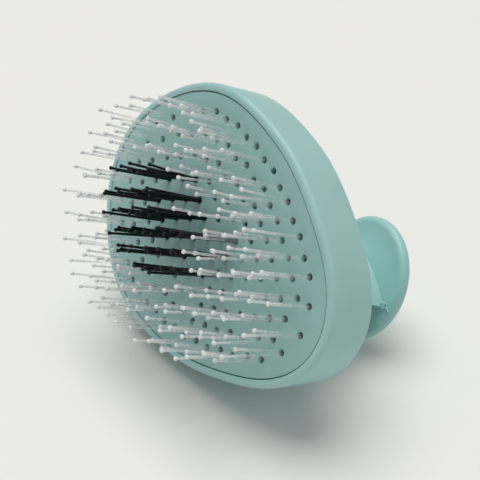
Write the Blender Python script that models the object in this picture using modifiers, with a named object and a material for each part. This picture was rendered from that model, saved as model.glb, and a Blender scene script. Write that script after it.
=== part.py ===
# Scalp massage brush: an egg shaped head of floating pins with a mushroom grip behind it

import math

import bmesh
import bpy
from mathutils import Matrix, Vector

# Every length is in metres. The head is drawn flat, pins up, and is laid on its side at the end.
# Local +X points to the narrow end of the egg, local +Z along the pins, and the rim's front is at 0.

# Head outline, the seam between face plate and rim
HEAD_MEAN_RADIUS = 0.0396
OVAL_SHARE = 0.1451
TAPER_SHARE = 0.0452
SQUARE_SHARE = 0.0267
NOSE_SHARE = 0.0081
FLANK_SHARE = 0.0117
OUTLINE_POINTS = 54

# Gaps left between pieces
SEAM = 0.0003
BORE_SLACK = 0.00015

# How near two points are one point, how flat two faces are one face, and what counts as a crease
WELD = 0.00001
FLAT_ANGLE = math.radians(0.5)
CREASE_ANGLE = math.radians(40)
HEX_SIDES = 6

# Rim
LIP_WIDTH = 0.0025
WALL_DRAFT = 0.0004
LIP_ROUND = 0.0015
BACK_ROUND = 0.0010
ROUND_STEPS = 2
RIM_DEPTH = 0.0162
RIM_WALL = 0.0020
LEDGE_REACH = 0.0022
LEDGE_THICK = 0.0015
FLANGE_REACH = 0.0016
FLANGE_THICK = 0.0018

# Face plate
PLATE_RECESS = 0.0002
PLATE_THICK = 0.0018
HOLE_RADIUS = 0.00104
HOLE_SIDES = 6
COLUMN_PITCH = 0.00455
COLUMN_CREEP = 0.000018
COLUMN_START = 0.0017
FIRST_COLUMN = -8
COLUMN_HOLES = (5, 6, 7, 8, 9, 10, 11, 10, 11, 10, 11, 10, 9, 8, 7, 6, 5, 2)
EVEN_MARGIN = 0.0050
ODD_MARGIN = 0.0056
MIN_HOLE_PITCH = 0.0040
MARGIN_STEPS = 720

# Pin mats, the soft sheets that the pins stand on
MAT_THICK = 0.0010
MAT_INSET = 0.0040
PIN_MARGIN = 0.0086
PIN_END_SHARE = 0.76
BARE_COLUMN = 2
CENTRE_X = -0.0055
CENTRE_HALF_LENGTH = 0.0190
CENTRE_HALF_WIDTH = 0.0130
CENTRE_SQUARENESS = 2.5
PINS_PER_HOLE = 3
EDGE_PINS_PER_HOLE = 1
END_PINS_PER_HOLE = 2
PIN_SPREAD = 0.00042
PIN_SPLAY = 0.021
PIN_SIDES = 3
PIN_ROOT = 0.0005
WHITE_LENGTHS = (0.0210, 0.0165, 0.0120)
WHITE_RADIUS = 0.00034
WHITE_TIP_RADIUS = 0.00068
BLACK_LENGTHS = (0.0205, 0.0195, 0.0180)
BLACK_RADIUS = 0.00036
BLACK_TIP_RADIUS = 0.00058
WHITE_PROFILE = ((1.7, None), (0.8, 1.0), (0.0, 0.45))
BLACK_PROFILE = ((0.8, 1.0), (0.0, 0.45))
HOLE_TURN = 1.9
CUTTER_SHARE = 4

# Foam and backing plate behind the mats
PIN_TRAVEL = 0.0020
TRAVEL_SPARE = 0.0001
FOAM_THICK = 0.0022
BACKING_THICK = 0.0013

# Screws that hold the backing plate on six lugs
LUG_COUNT = 6
LUG_INSET = 0.0014
LUG_RADIUS = 0.0023
LUG_SIDES = 8
LUG_START_TURN = math.radians(30)
SMALL_SCREW_RADIUS = 0.0007
SMALL_HEAD_RADIUS = 0.0015
SMALL_HEAD_THICK = 0.0011
SMALL_SCREW_BITE = 0.0028
DRIVE_SHARE = 0.45
DRIVE_DEPTH_SHARE = 0.55
SCREW_POINT_SHARE = 0.6
HEAD_EDGE_SHARE = 0.2

# Back cover
SKIRT_FRONT = 0.0116
SKIRT_THICK = 0.0020
BEAD_REACH = 0.0009
BEAD_THICK = 0.0006
BEAD_SLOPE = 0.0005
EDGE_CHAMFER = 0.0003
COVER_WALL = 0.0020
DOME_HEIGHT = 0.0043
DOME_RINGS = 5
INNER_DOME_RINGS = 3
PAD_X = 0.0175
PAD_HALF_LENGTH = 0.0170
PAD_HALF_WIDTH = 0.0125
NUT_BOSS_RADIUS = 0.0058
NUT_BOSS_HEIGHT = 0.0040

# Grip: a teardrop neck and a round knob
GRIP_X = 0.0187
NECK_HALF_LENGTH = 0.0125
NECK_HALF_WIDTH = 0.0068
NECK_POINT_POWER = 0.70
NECK_POINTS = 24
FOOT_FLARE = 0.0030
FOOT_FLARE_HEIGHT = 0.0062
FOOT_EDGE = 0.0007
FLARE_STEPS = 4
KNOB_BACK = 0.0532
KNOB_TILT = math.radians(13.0)
KNOB_RADIUS = 0.0185
KNOB_THICK = 0.0038
KNOB_ROUND = 0.0019
KNOB_DISH = 0.0014
KNOB_DISH_STEPS = 4
KNOB_EDGE_STEPS = 3
KNOB_SIDES = 32
TOP_FLARE = 0.0010
TOP_FLARE_HEIGHT = 0.0040
KNOB_CORE_SHARE = 0.62

# Knob cap
CAP_RADIUS = 0.0146
CAP_THICK = 0.0012
CAP_CHAMFER = 0.0003

# Long screw, washer and nut inside the neck
LONG_SCREW_RADIUS = 0.0020
LONG_BORE_SLACK = 0.0003
LONG_HEAD_RADIUS = 0.0036
LONG_HEAD_THICK = 0.0030
WASHER_RADIUS = 0.0045
WASHER_THICK = 0.0008
COUNTERBORE_RADIUS = 0.0050
NUT_RADIUS = 0.0040
NUT_THICK = 0.0032
NUT_FLOOR = 0.0006
SCREW_SIDES = 8

# Strap eyelet where the neck's point meets the knob
EYELET_RADIUS = 0.00095
EYELET_WIRE = 0.00042
EYELET_RISE = 0.0009
EYELET_OUT = 0.0003
EYELET_TILT = 0.60
EYELET_RING_STEPS = 10
EYELET_WIRE_STEPS = 5
EYELET_STAY_RADIUS = 0.0005

# How the brush lies on a table: on the side of its rim and the edge of its knob
REST_HEADING = math.radians(-90.0)
REST_TILT = math.radians(22.50)
REST_ROLL = math.radians(81.35)

# Heights along the local Z axis, all from the sizes above
plate_front = -PLATE_RECESS
plate_back = plate_front - PLATE_THICK
ledge_front = plate_back - SEAM
ledge_back = ledge_front - LEDGE_THICK
mat_front = plate_back - SEAM
mat_back = mat_front - MAT_THICK
foam_front = mat_back - PIN_TRAVEL - TRAVEL_SPARE
foam_back = foam_front - FOAM_THICK
lug_back = foam_back
backing_front = lug_back - SEAM
backing_back = backing_front - BACKING_THICK
flange_front = FLANGE_THICK - RIM_DEPTH
pad_height = -RIM_DEPTH - DOME_HEIGHT
neck_foot = pad_height - SEAM
knob_front = KNOB_THICK - KNOB_BACK
knob_middle = KNOB_THICK / 2 - KNOB_BACK
knob_slope = math.tan(KNOB_TILT)
cap_front = CAP_THICK - KNOB_BACK
long_head_back = cap_front + SEAM + LONG_HEAD_RADIUS * knob_slope
long_head_front = long_head_back + LONG_HEAD_THICK
washer_back = long_head_front + SEAM
washer_front = washer_back + WASHER_THICK
counterbore_front = washer_front + SEAM
boss_front = pad_height + COVER_WALL + NUT_BOSS_HEIGHT
nut_back = pad_height + COVER_WALL + NUT_FLOOR
nut_front = nut_back + NUT_THICK
cavity_offset = LIP_WIDTH - RIM_WALL


def clear_scene():
    for thing in list(bpy.data.objects):
        bpy.data.objects.remove(thing, do_unlink=True)


def new_collection(name, hidden):
    collection = bpy.data.collections.new(name)
    bpy.context.scene.collection.children.link(collection)
    collection.hide_render = hidden
    return collection


def new_material(name, colour, roughness, metallic=0.0):
    material = bpy.data.materials.new(name)
    material.use_nodes = True
    shader = material.node_tree.nodes["Principled BSDF"]
    shader.inputs["Base Color"].default_value = (*colour, 1.0)
    shader.inputs["Roughness"].default_value = roughness
    shader.inputs["Metallic"].default_value = metallic
    return material


clear_scene()
parts = new_collection("scalp_massage_brush", False)
cutters = new_collection("cutters", True)

pose = bpy.data.objects.new("brush_pose", None)
parts.objects.link(pose)


def add_object(name, mesh, material=None):
    thing = bpy.data.objects.new(name, mesh)
    if material is None:
        cutters.objects.link(thing)
        thing.hide_render = True
        thing.display_type = "WIRE"
    else:
        parts.objects.link(thing)
        thing.data.materials.append(material)
    thing.parent = pose
    return thing


def mesh_from(name, points, faces):
    mesh = bpy.data.meshes.new(name)
    mesh.from_pydata(points, [], faces)
    mesh.update()
    return mesh


def loft(name, rings, closed):
    """Skin between rings of equal count, capped at both ends or joined end to end."""
    count = len(rings[0])
    points = [point for ring in rings for point in ring]
    faces = []
    spans = len(rings) if closed else len(rings) - 1
    for level in range(spans):
        low = level * count
        high = ((level + 1) % len(rings)) * count
        for k in range(count):
            after = (k + 1) % count
            faces.append((low + k, low + after, high + after, high + k))
    if not closed:
        faces.append(tuple(reversed(range(count))))
        faces.append(tuple((len(rings) - 1) * count + k for k in range(count)))
    mesh = mesh_from(name, points, faces)
    work = bmesh.new()
    work.from_mesh(mesh)
    bmesh.ops.recalc_face_normals(work, faces=work.faces)
    work.to_mesh(mesh)
    work.free()
    return mesh


def turned(name, profile, steps, material=None, centre_x=0.0, centre_y=0.0):
    """A profile of (radius, height) turned once about the vertical axis at (centre_x, centre_y)."""
    points = [(radius, 0.0, height) for radius, height in profile]
    edges = [(k, k + 1) for k in range(len(points) - 1)]
    mesh = bpy.data.meshes.new(name)
    mesh.from_pydata(points, edges, [])
    thing = add_object(name, mesh, material)
    thing.location = (centre_x, centre_y, 0.0)
    screw = thing.modifiers.new("Turn", "SCREW")
    screw.steps = steps
    screw.render_steps = steps
    screw.use_merge_vertices = True
    screw.merge_threshold = WELD
    screw.use_normal_calculate = True
    return thing


def rod(name, radius, back, front, sides, centre_x=0.0, centre_y=0.0):
    """A plain cutter from height back to height front."""
    mesh = bpy.data.meshes.new(name)
    work = bmesh.new()
    bmesh.ops.create_cone(
        work,
        cap_ends=True,
        segments=sides,
        radius1=radius,
        radius2=radius,
        depth=front - back,
        matrix=Matrix.Translation((centre_x, centre_y, (front + back) / 2)),
    )
    work.to_mesh(mesh)
    work.free()
    return add_object(name, mesh)


def combine(thing, other, operation):
    boolean = thing.modifiers.new(operation.title() + " " + other.name, "BOOLEAN")
    boolean.operation = operation
    boolean.solver = "EXACT"
    boolean.object = other
    return boolean


def cut(thing, other):
    return combine(thing, other, "DIFFERENCE")


def join(thing, other):
    return combine(thing, other, "UNION")


def smooth(thing, angle):
    for face in thing.data.polygons:
        face.use_smooth = True
    thing.data.set_sharp_from_angle(angle=angle)


# Outline of the head

def egg_point(angle, offset):
    radius = HEAD_MEAN_RADIUS * (
        1.0
        + OVAL_SHARE * math.cos(2 * angle)
        + TAPER_SHARE * math.cos(3 * angle)
        + SQUARE_SHARE * math.cos(4 * angle)
        + NOSE_SHARE * math.cos(5 * angle)
        + FLANK_SHARE * math.cos(6 * angle)
    )
    slope = -HEAD_MEAN_RADIUS * (
        2 * OVAL_SHARE * math.sin(2 * angle)
        + 3 * TAPER_SHARE * math.sin(3 * angle)
        + 4 * SQUARE_SHARE * math.sin(4 * angle)
        + 5 * NOSE_SHARE * math.sin(5 * angle)
        + 6 * FLANK_SHARE * math.sin(6 * angle)
    )
    across = slope * math.cos(angle) - radius * math.sin(angle)
    along = slope * math.sin(angle) + radius * math.cos(angle)
    size = math.hypot(across, along)
    return (
        radius * math.cos(angle) + offset * along / size,
        radius * math.sin(angle) - offset * across / size,
    )


def egg_radius(angle):
    x, y = egg_point(angle, 0.0)
    return math.hypot(x, y)


def egg_ring(offset, height, count=OUTLINE_POINTS):
    ring = []
    for k in range(count):
        x, y = egg_point(2 * math.pi * k / count, offset)
        ring.append((x, y, height))
    return ring


def quarter(centre_offset, centre_height, radius, start):
    """Points of a quarter round in a section, from the start angle on by a right angle."""
    found = []
    for k in range(ROUND_STEPS + 1):
        angle = start + math.pi / 2 * k / ROUND_STEPS
        found.append((centre_offset + radius * math.cos(angle), centre_height + radius * math.sin(angle)))
    return found


# Hole pattern of the face plate: columns across the head, each filled evenly from edge to edge

def window_share(x, y):
    """Below 1 inside the centre field, above 1 outside it."""
    return (abs(x - CENTRE_X) / CENTRE_HALF_LENGTH) ** CENTRE_SQUARENESS + (
        abs(y) / CENTRE_HALF_WIDTH
    ) ** CENTRE_SQUARENESS


def column_place(column):
    """The columns lie a little closer together toward the narrow end."""
    return COLUMN_START + COLUMN_PITCH * column - COLUMN_CREEP * column ** 2


def half_column(x, margin):
    """How far a column at x reaches from the middle before it comes within margin of the outline."""
    reach = 0.0
    for k in range(MARGIN_STEPS):
        before_x, before_y = egg_point(math.pi * k / MARGIN_STEPS, -margin)
        after_x, after_y = egg_point(math.pi * (k + 1) / MARGIN_STEPS, -margin)
        if after_x <= x < before_x:
            share = (before_x - x) / (before_x - after_x)
            reach = before_y + (after_y - before_y) * share
    return reach


def pin_owner(x, y, column):
    """The field whose pins pass through a hole: outside the window, the bare column has none."""
    if window_share(x, y) < 1.0:
        return "centre"
    if column == BARE_COLUMN:
        return "none"
    return "front" if x > split_x else "rear"


def pin_count(x, y):
    """How many pins share a hole: the ring of holes along the edge has fewer."""
    inset = egg_radius(math.atan2(y, x)) - math.hypot(x, y)
    if x > pin_end_x:
        return END_PINS_PER_HOLE
    return EDGE_PINS_PER_HOLE if inset < PIN_MARGIN else PINS_PER_HOLE


head_tip = egg_point(0.0, 0.0)[0]
split_x = column_place(BARE_COLUMN)
pin_end_x = PIN_END_SHARE * head_tip


def plate_holes():
    found = [(head_tip - ODD_MARGIN, 0.0, "front")]
    for index, count in enumerate(COLUMN_HOLES):
        column = FIRST_COLUMN + index
        x = column_place(column)
        half = half_column(x, ODD_MARGIN if column % 2 else EVEN_MARGIN)
        # a smaller head loses the holes that it has no room for
        rows = min(count, 1 + int(2 * half / MIN_HOLE_PITCH))
        for row in range(rows if rows > 1 else 0):
            y = half * (1 - 2 * row / (rows - 1))
            found.append((x, y, pin_owner(x, y, column)))
    return found


holes = plate_holes()

mint = new_material("mint_plastic", (0.36, 0.60, 0.59), 0.45)
plate_mint = new_material("mint_face_plastic", (0.30, 0.52, 0.51), 0.50)
white_nylon = new_material("white_nylon", (0.82, 0.87, 0.88), 0.30)
black_nylon = new_material("black_nylon", (0.010, 0.010, 0.012), 0.35)
foam_grey = new_material("grey_foam", (0.20, 0.24, 0.24), 0.90)
backing_grey = new_material("grey_plastic", (0.25, 0.31, 0.31), 0.55)
steel = new_material("steel", (0.62, 0.62, 0.64), 0.30, 1.0)

# Rim: one section carried round the egg, with a lug for each backing screw

section = []
back_width = LIP_WIDTH - WALL_DRAFT
section.append((back_width, BACK_ROUND - RIM_DEPTH))
section.extend(quarter(LIP_WIDTH - LIP_ROUND, -LIP_ROUND, LIP_ROUND, 0.0))
section.append((SEAM / 2, 0.0))
section.append((SEAM / 2, ledge_front))
section.append((-LEDGE_REACH, ledge_front))
section.append((-LEDGE_REACH, ledge_back))
section.append((cavity_offset, ledge_back))
section.append((cavity_offset, flange_front))
section.append((-FLANGE_REACH, flange_front))
section.append((-FLANGE_REACH, -RIM_DEPTH))
section.extend(quarter(back_width - BACK_ROUND, BACK_ROUND - RIM_DEPTH, BACK_ROUND, -math.pi / 2)[:-1])
rim = add_object("rim", loft("rim", [egg_ring(offset, height) for offset, height in section], True), mint)

lug_spots = []
for k in range(LUG_COUNT):
    lug_spots.append(egg_point(LUG_START_TURN + 2 * math.pi * k / LUG_COUNT, -LUG_INSET))
for k, (x, y) in enumerate(lug_spots):
    join(rim, rod(f"lug_{k + 1}", LUG_RADIUS, lug_back, ledge_front - LEDGE_THICK / 2, LUG_SIDES, x, y))
for k, (x, y) in enumerate(lug_spots):
    bore = SMALL_SCREW_RADIUS + BORE_SLACK
    cut(rim, rod(f"lug_bore_{k + 1}", bore, lug_back - SEAM, lug_back + SMALL_SCREW_BITE, LUG_SIDES, x, y))
smooth(rim, CREASE_ANGLE)

# Face plate: a flat egg pierced by the whole pattern


def outline_spline(curve, points):
    spline = curve.splines.new("POLY")
    spline.points.add(len(points) - 1)
    for target, (x, y) in zip(spline.points, points):
        target.co = (x, y, 0.0, 1.0)
    spline.use_cyclic_u = True


def flat_curve(name, outlines, thickness):
    curve = bpy.data.curves.new(name, "CURVE")
    curve.dimensions = "2D"
    curve.fill_mode = "BOTH"
    curve.extrude = thickness / 2
    for points in outlines:
        outline_spline(curve, points)
    return curve


def solid_from_curve(name, curve, middle, material=None, whole=False):
    """The filled outline as a welded mesh lying at height middle, its flat faces left whole if asked."""
    holder = bpy.data.objects.new(name + "_outline", curve)
    bpy.context.scene.collection.objects.link(holder)
    depsgraph = bpy.context.evaluated_depsgraph_get()
    mesh = bpy.data.meshes.new_from_object(holder.evaluated_get(depsgraph))
    bpy.data.objects.remove(holder, do_unlink=True)
    work = bmesh.new()
    work.from_mesh(mesh)
    bmesh.ops.remove_doubles(work, verts=work.verts, dist=WELD)
    if whole:
        bmesh.ops.dissolve_limit(work, angle_limit=FLAT_ANGLE, verts=work.verts, edges=work.edges)
    bmesh.ops.translate(work, verts=work.verts, vec=(0.0, 0.0, middle))
    bmesh.ops.recalc_face_normals(work, faces=work.faces)
    work.to_mesh(mesh)
    work.free()
    mesh.name = name
    return add_object(name, mesh, material)


def flat_egg(offset):
    return [point[:2] for point in egg_ring(offset, 0.0)]


def polygon(x, y, radius, sides, turn=0.0):
    points = []
    for k in range(sides):
        angle = turn + 2 * math.pi * k / sides
        points.append((x + radius * math.cos(angle), y + radius * math.sin(angle)))
    return points


plate_outlines = [flat_egg(-SEAM / 2)]
for x, y, field in holes:
    plate_outlines.append(polygon(x, y, HOLE_RADIUS, HOLE_SIDES))
plate_curve = flat_curve("face_plate", plate_outlines, PLATE_THICK)
solid_from_curve("face_plate", plate_curve, (plate_front + plate_back) / 2, plate_mint)

# Pins: one to three round-tipped strands through each pinned hole, moulded on a soft mat


def strand(work, x, y, turn, length, radius, tip_radius, profile):
    """One pin that leans a little outward, with a rounded tip, added to work."""
    lean = Vector((math.cos(turn), math.sin(turn), 0.0))
    root = Vector((x, y, mat_front)) + lean * PIN_SPREAD
    axis = (Vector((0.0, 0.0, 1.0)) + lean * PIN_SPLAY).normalized()
    side = axis.cross(lean).normalized()
    out = side.cross(axis).normalized()
    reach = length - mat_front
    stations = [(-PIN_ROOT, radius)]
    for back_share, width_share in profile:
        width = radius if width_share is None else tip_radius * width_share
        stations.append((reach - tip_radius * back_share, width))
    rings = []
    for along, width in stations:
        ring = []
        for k in range(PIN_SIDES):
            angle = 2 * math.pi * k / PIN_SIDES
            around = out * math.cos(angle) + side * math.sin(angle)
            ring.append(work.verts.new(root + axis * along + around * width))
        rings.append(ring)
    for low, high in zip(rings, rings[1:]):
        for k in range(PIN_SIDES):
            after = (k + 1) % PIN_SIDES
            work.faces.new((low[k], low[after], high[after], high[k]))
    work.faces.new(tuple(reversed(rings[0])))
    work.faces.new(tuple(rings[-1]))


def pin_field(name, field, lengths, radius, tip_radius, profile, mat):
    work = bmesh.new()
    for index, (x, y, owner) in enumerate(holes):
        if owner != field:
            continue
        for k in range(pin_count(x, y)):
            turn = HOLE_TURN * index + 2 * math.pi * k / PINS_PER_HOLE
            # a pin that would stand across the seam, beside its own mat, is left out
            in_window = window_share(x + PIN_SPREAD * math.cos(turn), y + PIN_SPREAD * math.sin(turn)) < 1.0
            if in_window == (owner == "centre"):
                strand(work, x, y, turn, lengths[k % len(lengths)], radius, tip_radius, profile)
    bmesh.ops.recalc_face_normals(work, faces=work.faces)
    mesh = bpy.data.meshes.new(name)
    work.to_mesh(mesh)
    work.free()
    strands = add_object(name, mesh)
    join(mat, strands)


def window_outline(gap):
    points = []
    power = 2.0 / CENTRE_SQUARENESS
    for k in range(OUTLINE_POINTS):
        angle = 2 * math.pi * k / OUTLINE_POINTS
        cosine = math.cos(angle)
        sine = math.sin(angle)
        x = CENTRE_X + (CENTRE_HALF_LENGTH + gap) * math.copysign(abs(cosine) ** power, cosine)
        y = (CENTRE_HALF_WIDTH + gap) * math.copysign(abs(sine) ** power, sine)
        points.append((x, y))
    return points


head_reach = 2 * HEAD_MEAN_RADIUS


def slab(name, low_x, high_x):
    """A block that takes away the mat between two places along the head."""
    mesh = bpy.data.meshes.new(name)
    work = bmesh.new()
    size = Vector((high_x - low_x, 2 * head_reach, CUTTER_SHARE * MAT_THICK))
    place = Vector(((high_x + low_x) / 2, 0.0, (mat_front + mat_back) / 2))
    bmesh.ops.create_cube(work, size=1.0, matrix=Matrix.Translation(place) @ Matrix.Diagonal((*size, 1.0)))
    work.to_mesh(mesh)
    work.free()
    return add_object(name, mesh)


mat_middle = (mat_front + mat_back) / 2
window_curve = flat_curve("centre_window", [window_outline(SEAM / 2)], CUTTER_SHARE * MAT_THICK)
window_cutter = solid_from_curve("centre_window", window_curve, mat_middle, None, True)

rear_curve = flat_curve("rear_mat", [flat_egg(-MAT_INSET)], MAT_THICK)
rear_mat = solid_from_curve("rear_pins", rear_curve, mat_middle, white_nylon, True)
cut(rear_mat, window_cutter)
cut(rear_mat, slab("rear_trim", split_x - SEAM / 2, head_reach))
pin_field("rear_strands", "rear", WHITE_LENGTHS, WHITE_RADIUS, WHITE_TIP_RADIUS, WHITE_PROFILE, rear_mat)

front_curve = flat_curve("front_mat", [flat_egg(-MAT_INSET)], MAT_THICK)
front_mat = solid_from_curve("front_pins", front_curve, mat_middle, white_nylon, True)
cut(front_mat, window_cutter)
cut(front_mat, slab("front_trim", -head_reach, split_x + SEAM / 2))
pin_field("front_strands", "front", WHITE_LENGTHS, WHITE_RADIUS, WHITE_TIP_RADIUS, WHITE_PROFILE, front_mat)

centre_curve = flat_curve("centre_mat", [window_outline(-SEAM / 2)], MAT_THICK)
centre_mat = solid_from_curve("centre_pins", centre_curve, mat_middle, black_nylon, True)
pin_field("centre_strands", "centre", BLACK_LENGTHS, BLACK_RADIUS, BLACK_TIP_RADIUS, BLACK_PROFILE, centre_mat)

# Foam pad and backing plate

foam_curve = flat_curve("foam_pad", [flat_egg(-MAT_INSET)], FOAM_THICK)
solid_from_curve("foam_pad", foam_curve, (foam_front + foam_back) / 2, foam_grey)

backing_outlines = [flat_egg(cavity_offset - SEAM)]
for x, y in lug_spots:
    backing_outlines.append(polygon(x, y, SMALL_SCREW_RADIUS + BORE_SLACK, LUG_SIDES))
backing_curve = flat_curve("backing_plate", backing_outlines, BACKING_THICK)
solid_from_curve("backing_plate", backing_curve, (backing_front + backing_back) / 2, backing_grey)

# Six small screws with a hexagon socket each, their heads toward the back


def screw(name, x, y, shank_radius, head_radius, head_front, head_thick, tip):
    """A screw turned from one section, with its head to the back of head_front."""
    socket = head_radius * DRIVE_SHARE
    depth = head_thick * DRIVE_DEPTH_SHARE
    back = head_front - head_thick
    profile = [
        (0.0, tip),
        (shank_radius * SCREW_POINT_SHARE, tip),
        (shank_radius, tip - shank_radius * SCREW_POINT_SHARE),
        (shank_radius, head_front),
        (head_radius, head_front),
        (head_radius, back + head_thick * HEAD_EDGE_SHARE),
        (head_radius - head_thick * HEAD_EDGE_SHARE, back),
        (0.0, back),
    ]
    made = turned(name, profile, SCREW_SIDES, steel, x, y)
    cut(made, rod(name + "_socket", socket, back - head_thick, back + depth, HEX_SIDES, x, y))
    return made


small_head_front = backing_back - SEAM
small_tip = lug_back + SMALL_SCREW_BITE - SEAM
for k, (x, y) in enumerate(lug_spots):
    name = f"backing_screw_{k + 1}"
    screw(name, x, y, SMALL_SCREW_RADIUS, SMALL_HEAD_RADIUS, small_head_front, SMALL_HEAD_THICK, small_tip)

# Back cover: a shallow dome from the rim's flange to the flat pad under the neck


def pad_point(angle, shrink):
    return (
        PAD_X + (PAD_HALF_LENGTH - shrink) * math.cos(angle),
        (PAD_HALF_WIDTH - shrink) * math.sin(angle),
    )


def dome_ring(share, edge_offset, edge_height, top_height, shrink):
    """A ring of the dome, from the egg at share 0 to the pad at share 1."""
    height = edge_height + (top_height - edge_height) * (1 - (1 - share) ** 2)
    ring = []
    for k in range(OUTLINE_POINTS):
        angle = 2 * math.pi * k / OUTLINE_POINTS
        edge_x, edge_y = egg_point(angle, edge_offset)
        pad_x, pad_y = pad_point(angle, shrink)
        ring.append((edge_x + (pad_x - edge_x) * share, edge_y + (pad_y - edge_y) * share, height))
    return ring


skirt_offset = -FLANGE_REACH - SEAM
bead_back = flange_front + SEAM
skirt_inner = skirt_offset - SKIRT_THICK
inner_edge = COVER_WALL - RIM_DEPTH
inner_pad = COVER_WALL + pad_height
cover_rings = []
for k in range(INNER_DOME_RINGS, -1, -1):
    cover_rings.append(dome_ring(k / INNER_DOME_RINGS, skirt_inner, inner_edge, inner_pad, COVER_WALL))
cover_rings.append(egg_ring(skirt_inner, -SKIRT_FRONT))
cover_rings.append(egg_ring(skirt_offset, -SKIRT_FRONT))
cover_rings.append(egg_ring(skirt_offset + BEAD_REACH, bead_back + BEAD_THICK))
cover_rings.append(egg_ring(skirt_offset + BEAD_REACH, bead_back))
cover_rings.append(egg_ring(skirt_offset, bead_back))
cover_rings.append(egg_ring(skirt_offset, EDGE_CHAMFER - RIM_DEPTH))
for k in range(DOME_RINGS + 1):
    cover_rings.append(dome_ring(k / DOME_RINGS, skirt_offset - EDGE_CHAMFER, -RIM_DEPTH, pad_height, 0.0))
cover = add_object("back_cover", loft("back_cover", cover_rings, False), mint)
long_bore = LONG_SCREW_RADIUS + LONG_BORE_SLACK
join(cover, rod("nut_boss", NUT_BOSS_RADIUS, pad_height + COVER_WALL / 2, boss_front, SCREW_SIDES, GRIP_X))
cut(cover, rod("nut_pocket", NUT_RADIUS + SEAM, nut_back - SEAM, boss_front + SEAM, HEX_SIDES, GRIP_X))
cut(cover, rod("cover_bore", long_bore, pad_height - SEAM, boss_front + SEAM, SCREW_SIDES, GRIP_X))
smooth(cover, CREASE_ANGLE)

# Grip: neck lofted from teardrop sections, joined to the turned knob


def teardrop_ring(grow, height, slope=0.0):
    """A teardrop with its point toward +X, grown by a length all round, in a plane that may slope."""
    ring = []
    widest = math.acos(-NECK_POINT_POWER / (NECK_POINT_POWER + 2))
    peak = math.sin(widest) * math.sin(widest / 2) ** NECK_POINT_POWER
    for k in range(NECK_POINTS):
        angle = 2 * math.pi * k / NECK_POINTS
        width = math.sin(angle) * abs(math.sin(angle / 2)) ** NECK_POINT_POWER / peak
        along = (NECK_HALF_LENGTH + grow) * math.cos(angle)
        ring.append((GRIP_X + along, (NECK_HALF_WIDTH + grow) * width, height + along * slope))
    return ring


neck_rings = [teardrop_ring(FOOT_FLARE, neck_foot), teardrop_ring(FOOT_FLARE, neck_foot - FOOT_EDGE)]
for k in range(1, FLARE_STEPS + 1):
    angle = math.pi / 2 * k / FLARE_STEPS
    neck_rings.append(
        teardrop_ring(
            FOOT_FLARE * (1 - math.sin(angle)),
            neck_foot - FOOT_EDGE - FOOT_FLARE_HEIGHT * (1 - math.cos(angle)),
        )
    )
neck_top = knob_front - (KNOB_THICK - CAP_THICK) / 2
flare_start = knob_front + KNOB_DISH
for k in range(FLARE_STEPS + 1):
    share = k / FLARE_STEPS
    height = flare_start + TOP_FLARE_HEIGHT * (1 - share)
    neck_rings.append(teardrop_ring(TOP_FLARE * share ** 2, height, knob_slope))
neck_rings.append(teardrop_ring(TOP_FLARE, neck_top, knob_slope))
grip = add_object("grip", loft("grip", neck_rings, False), mint)



def tilt_with_knob(thing):
    """Set a piece built about the middle of the knob at the knob's place and tilt."""
    thing.location = (GRIP_X, 0.0, knob_middle)
    thing.rotation_euler = (0.0, -KNOB_TILT, 0.0)
    return thing


knob_profile = [(0.0, KNOB_THICK / 2 + KNOB_DISH)]
for k in range(1, KNOB_DISH_STEPS + 1):
    share = k / KNOB_DISH_STEPS
    reach = KNOB_RADIUS - KNOB_ROUND - KNOB_RADIUS * (1 - KNOB_CORE_SHARE)
    radius = KNOB_RADIUS * (1 - KNOB_CORE_SHARE) + reach * share
    knob_profile.append((radius, KNOB_THICK / 2 + KNOB_DISH * (1 - share) ** 2))
for k in range(1, 2 * KNOB_EDGE_STEPS + 1):
    angle = math.pi / 2 - math.pi * k / (2 * KNOB_EDGE_STEPS)
    radius = KNOB_RADIUS - KNOB_ROUND + KNOB_ROUND * math.cos(angle)
    knob_profile.append((radius, KNOB_THICK / 2 * math.sin(angle)))
knob_profile.append((0.0, -KNOB_THICK / 2))
join(grip, tilt_with_knob(turned("knob_disc", knob_profile, KNOB_SIDES)))

# Strap eyelet: a small ring on the neck's point with a stay down to the knob


def knob_surface(x):
    """Height of the knob's tilted front face at x."""
    return knob_middle + (x - GRIP_X) * knob_slope + KNOB_THICK / 2 / math.cos(KNOB_TILT)


eyelet_mesh = bpy.data.meshes.new("strap_eyelet")
work = bmesh.new()
ring_verts = []
for k in range(EYELET_RING_STEPS):
    turn = 2 * math.pi * k / EYELET_RING_STEPS
    row = []
    for j in range(EYELET_WIRE_STEPS):
        angle = 2 * math.pi * j / EYELET_WIRE_STEPS
        reach = EYELET_RADIUS + EYELET_WIRE * math.cos(angle)
        height = EYELET_WIRE * math.sin(angle)
        row.append(work.verts.new((reach * math.cos(turn), reach * math.sin(turn), height)))
    ring_verts.append(row)
for k in range(EYELET_RING_STEPS):
    here = ring_verts[k]
    there = ring_verts[(k + 1) % EYELET_RING_STEPS]
    for j in range(EYELET_WIRE_STEPS):
        after = (j + 1) % EYELET_WIRE_STEPS
        work.faces.new((here[j], there[j], there[after], here[after]))
bmesh.ops.recalc_face_normals(work, faces=work.faces)
work.to_mesh(eyelet_mesh)
work.free()
eyelet = add_object("strap_eyelet", eyelet_mesh)
eyelet_x = GRIP_X + NECK_HALF_LENGTH + EYELET_RADIUS + EYELET_OUT
eyelet_z = knob_surface(eyelet_x) + EYELET_RISE
eyelet.location = (eyelet_x, 0.0, eyelet_z)
eyelet.rotation_euler = (0.0, EYELET_TILT, 0.0)
join(grip, eyelet)
stay_x = eyelet_x + EYELET_RADIUS * math.cos(EYELET_TILT)
stay_z = eyelet_z - EYELET_RADIUS * math.sin(EYELET_TILT)
stay_foot = knob_surface(stay_x) - KNOB_ROUND
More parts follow.
